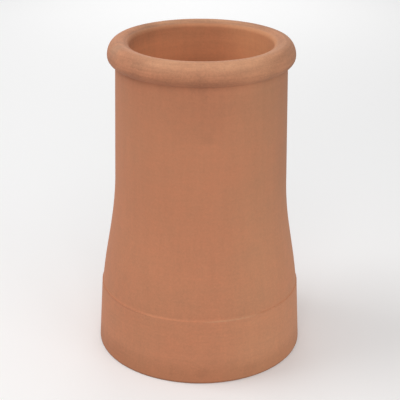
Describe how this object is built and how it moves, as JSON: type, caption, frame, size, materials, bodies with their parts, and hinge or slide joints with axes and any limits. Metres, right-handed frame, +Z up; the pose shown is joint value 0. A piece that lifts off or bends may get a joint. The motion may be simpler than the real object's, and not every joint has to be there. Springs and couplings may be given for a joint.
{
  "type": "chimney pot",
  "caption": "Round terracotta roll-top chimney pot, open at both ends, with a rolled rim, a plain barrel and a flared foot with a straight band.",
  "frame": {"origin": "centre of the foot's flat underside, on the pot's axis", "axes": "+Z up along the pot's axis, from the foot to the rolled rim; the pot is round, so +X and +Y are any level pair, with -Y towards the viewer of the picture"},
  "size_m": [0.2962, 0.2962, 0.45],
  "materials": {
    "terracotta": "matt, unglazed fired clay"
  },
  "bodies": {
    "root": {"chimney_pot": "terracotta"}
  },
  "joints": []
}
